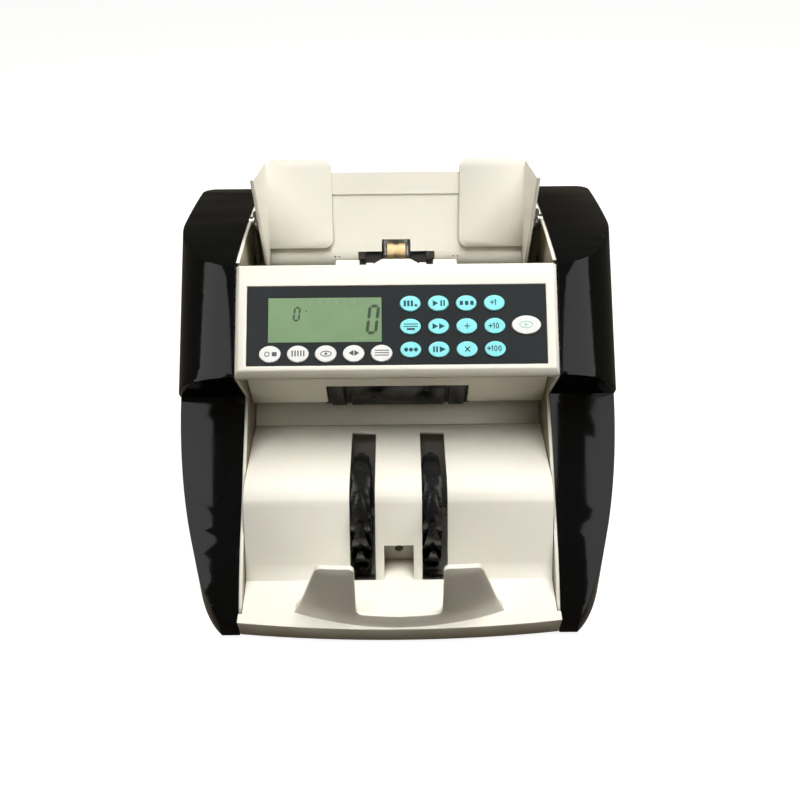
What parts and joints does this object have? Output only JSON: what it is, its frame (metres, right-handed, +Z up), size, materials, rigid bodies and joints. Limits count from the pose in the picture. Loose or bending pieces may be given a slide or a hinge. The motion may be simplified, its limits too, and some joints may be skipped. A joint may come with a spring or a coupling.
{
  "type": "banknote counter",
  "caption": "Friction-feed banknote counter: hopper with sliding note guides, key panel with display, stacker wheels and note stop over a front tray, in gloss black side covers.",
  "frame": {"origin": "centre of the overall box, on the surface that the rubber feet stand on", "axes": "+X to the operator's right, +Y from the front tray towards the back, +Z up"},
  "size_m": [0.304, 0.282, 0.2605],
  "materials": {
    "gloss_black_shell": "high gloss moulded black plastic",
    "ivory_plastic": "fine satin moulded ivory plastic",
    "grey_plastic": "satin moulded plastic",
    "black_plastic": "semi-gloss black plastic",
    "overlay_film": "satin printed film",
    "blue_key_plastic": "satin cyan plastic",
    "white_key_plastic": "satin white plastic",
    "lcd_glass": "grey-green display behind a clear front",
    "circuit_board": "green laminate",
    "black_rubber": "matte rubber",
    "zinc_steel": "zinc plated steel",
    "bearing_bronze": "sintered bronze",
    "polished_rod": "bright chrome plate",
    "roller_brass": "turned brass"
  },
  "bodies": {
    "root": {"base_pan": "grey_plastic", "case_screws": "zinc_steel", "display_board": "circuit_board", "drive_belt": "black_rubber", "drive_motor": "zinc_steel", "exit_shroud": "black_plastic", "frame_plates": "zinc_steel", "front_wall": "ivory_plastic", "guide_rod": "polished_rod", "hopper_back_plate": "ivory_plastic", "hopper_floor": "ivory_plastic", "keypad_overlay": "overlay_film", "lcd_module": "lcd_glass", "left_inner_wall": "ivory_plastic", "left_side_cover": "gloss_black_shell", "main_board": "circuit_board", "note_stop": "ivory_plastic", "panel_bezel": "ivory_plastic", "power_inlet": "black_plastic", "rear_cover": "grey_plastic", "right_inner_wall": "ivory_plastic", "right_side_cover": "gloss_black_shell", "roller_bracket": "zinc_steel", "rubber_feet": "black_rubber", "shaft_bearings": "bearing_bronze", "stacker_motor": "zinc_steel", "stacker_tray": "ivory_plastic", "tie_rods": "zinc_steel", "upper_chute": "ivory_plastic"},
    "stacker": {"stacker_shaft": "zinc_steel", "stacker_wheels": "black_plastic"},
    "feed": {"feed_shaft": "zinc_steel", "feed_rollers": "black_rubber", "feed_pulley": "black_plastic"},
    "pickup": {"pickup_shaft": "zinc_steel", "pickup_rollers": "black_rubber", "pickup_pulley": "black_plastic"},
    "motor_rotor": {"motor_pulley": "zinc_steel"},
    "brass_guide_roller": {"brass_roller": "roller_brass"},
    "left_guide": {"left_note_guide": "ivory_plastic"},
    "right_guide": {"right_note_guide": "ivory_plastic"},
    "rocker": {"power_switch": "black_plastic"},
    "blue_key_bottom_1_cap": {"blue_key_bottom_1": "blue_key_plastic"},
    "blue_key_bottom_2_cap": {"blue_key_bottom_2": "blue_key_plastic"},
    "blue_key_bottom_3_cap": {"blue_key_bottom_3": "blue_key_plastic"},
    "blue_key_bottom_4_cap": {"blue_key_bottom_4": "blue_key_plastic"},
    "blue_key_middle_1_cap": {"blue_key_middle_1": "blue_key_plastic"},
    "blue_key_middle_2_cap": {"blue_key_middle_2": "blue_key_plastic"},
    "blue_key_middle_3_cap": {"blue_key_middle_3": "blue_key_plastic"},
    "blue_key_middle_4_cap": {"blue_key_middle_4": "blue_key_plastic"},
    "blue_key_top_1_cap": {"blue_key_top_1": "blue_key_plastic"},
    "blue_key_top_2_cap": {"blue_key_top_2": "blue_key_plastic"},
    "blue_key_top_3_cap": {"blue_key_top_3": "blue_key_plastic"},
    "blue_key_top_4_cap": {"blue_key_top_4": "blue_key_plastic"},
    "detect_key_1_cap": {"detect_key_1": "white_key_plastic"},
    "detect_key_2_cap": {"detect_key_2": "white_key_plastic"},
    "detect_key_3_cap": {"detect_key_3": "white_key_plastic"},
    "detect_key_4_cap": {"detect_key_4": "white_key_plastic"},
    "detect_key_5_cap": {"detect_key_5": "white_key_plastic"},
    "restart_key_cap": {"restart_key": "white_key_plastic"}
  },
  "joints": [
    {"name": "stacker_spin", "type": "hinge", "parent": "root", "child": "stacker", "pos_m": [0, -0.06, 0.05], "axis": [1, 0, 0], "continuous": true},
    {"name": "feed_spin", "type": "hinge", "parent": "root", "child": "feed", "pos_m": [0, 0.022, 0.15], "axis": [1, 0, 0], "continuous": true},
    {"name": "pickup_spin", "type": "hinge", "parent": "root", "child": "pickup", "pos_m": [0, 0.064, 0.18], "axis": [1, 0, 0], "continuous": true},
    {"name": "motor_spin", "type": "hinge", "parent": "root", "child": "motor_rotor", "pos_m": [0, 0.095, 0.045], "axis": [1, 0, 0], "continuous": true},
    {"name": "brass_roller_spin", "type": "hinge", "parent": "root", "child": "brass_guide_roller", "pos_m": [0, 0.056, 0.1975], "axis": [1, 0, 0], "continuous": true},
    {"name": "left_guide_slide", "type": "slide", "parent": "root", "child": "left_guide", "axis": [1, 0, 0], "range_m": [0, 0.03]},
    {"name": "right_guide_slide", "type": "slide", "parent": "root", "child": "right_guide", "axis": [-1, 0, 0], "range_m": [0, 0.03]},
    {"name": "power_rock", "type": "hinge", "parent": "root", "child": "rocker", "pos_m": [-0.07, 0.1334, 0.058], "axis": [-1, 0, 0], "range_deg": [0, 12]},
    {"name": "blue_key_bottom_1_press", "type": "slide", "parent": "root", "child": "blue_key_bottom_1_cap", "axis": [0, 0.7455, -0.6665], "range_m": [0, 0.0005], "stiffness_N_per_m": 400},
    {"name": "blue_key_bottom_2_press", "type": "slide", "parent": "root", "child": "blue_key_bottom_2_cap", "axis": [0, 0.7455, -0.6665], "range_m": [0, 0.0005], "stiffness_N_per_m": 400},
    {"name": "blue_key_bottom_3_press", "type": "slide", "parent": "root", "child": "blue_key_bottom_3_cap", "axis": [0, 0.7455, -0.6665], "range_m": [0, 0.0005], "stiffness_N_per_m": 400},
    {"name": "blue_key_bottom_4_press", "type": "slide", "parent": "root", "child": "blue_key_bottom_4_cap", "axis": [0, 0.7455, -0.6665], "range_m": [0, 0.0005], "stiffness_N_per_m": 400},
    {"name": "blue_key_middle_1_press", "type": "slide", "parent": "root", "child": "blue_key_middle_1_cap", "axis": [0, 0.7455, -0.6665], "range_m": [0, 0.0005], "stiffness_N_per_m": 400},
    {"name": "blue_key_middle_2_press", "type": "slide", "parent": "root", "child": "blue_key_middle_2_cap", "axis": [0, 0.7455, -0.6665], "range_m": [0, 0.0005], "stiffness_N_per_m": 400},
    {"name": "blue_key_middle_3_press", "type": "slide", "parent": "root", "child": "blue_key_middle_3_cap", "axis": [0, 0.7455, -0.6665], "range_m": [0, 0.0005], "stiffness_N_per_m": 400},
    {"name": "blue_key_middle_4_press", "type": "slide", "parent": "root", "child": "blue_key_middle_4_cap", "axis": [0, 0.7455, -0.6665], "range_m": [0, 0.0005], "stiffness_N_per_m": 400},
    {"name": "blue_key_top_1_press", "type": "slide", "parent": "root", "child": "blue_key_top_1_cap", "axis": [0, 0.7455, -0.6665], "range_m": [0, 0.0005], "stiffness_N_per_m": 400},
    {"name": "blue_key_top_2_press", "type": "slide", "parent": "root", "child": "blue_key_top_2_cap", "axis": [0, 0.7455, -0.6665], "range_m": [0, 0.0005], "stiffness_N_per_m": 400},
    {"name": "blue_key_top_3_press", "type": "slide", "parent": "root", "child": "blue_key_top_3_cap", "axis": [0, 0.7455, -0.6665], "range_m": [0, 0.0005], "stiffness_N_per_m": 400},
    {"name": "blue_key_top_4_press", "type": "slide", "parent": "root", "child": "blue_key_top_4_cap", "axis": [0, 0.7455, -0.6665], "range_m": [0, 0.0005], "stiffness_N_per_m": 400},
    {"name": "detect_key_1_press", "type": "slide", "parent": "root", "child": "detect_key_1_cap", "axis": [0, 0.7455, -0.6665], "range_m": [0, 0.0005], "stiffness_N_per_m": 400},
    {"name": "detect_key_2_press", "type": "slide", "parent": "root", "child": "detect_key_2_cap", "axis": [0, 0.7455, -0.6665], "range_m": [0, 0.0005], "stiffness_N_per_m": 400},
    {"name": "detect_key_3_press", "type": "slide", "parent": "root", "child": "detect_key_3_cap", "axis": [0, 0.7455, -0.6665], "range_m": [0, 0.0005], "stiffness_N_per_m": 400},
    {"name": "detect_key_4_press", "type": "slide", "parent": "root", "child": "detect_key_4_cap", "axis": [0, 0.7455, -0.6665], "range_m": [0, 0.0005], "stiffness_N_per_m": 400},
    {"name": "detect_key_5_press", "type": "slide", "parent": "root", "child": "detect_key_5_cap", "axis": [0, 0.7455, -0.6665], "range_m": [0, 0.0005], "stiffness_N_per_m": 400},
    {"name": "restart_key_press", "type": "slide", "parent": "root", "child": "restart_key_cap", "axis": [0, 0.7455, -0.6665], "range_m": [0, 0.0005], "stiffness_N_per_m": 400}
  ],
  "couplings": [
    {"joint": "pickup_spin", "follows": "feed_spin", "ratio": 1.25},
    {"joint": "motor_spin", "follows": "feed_spin", "ratio": 1.6667}
  ]
}
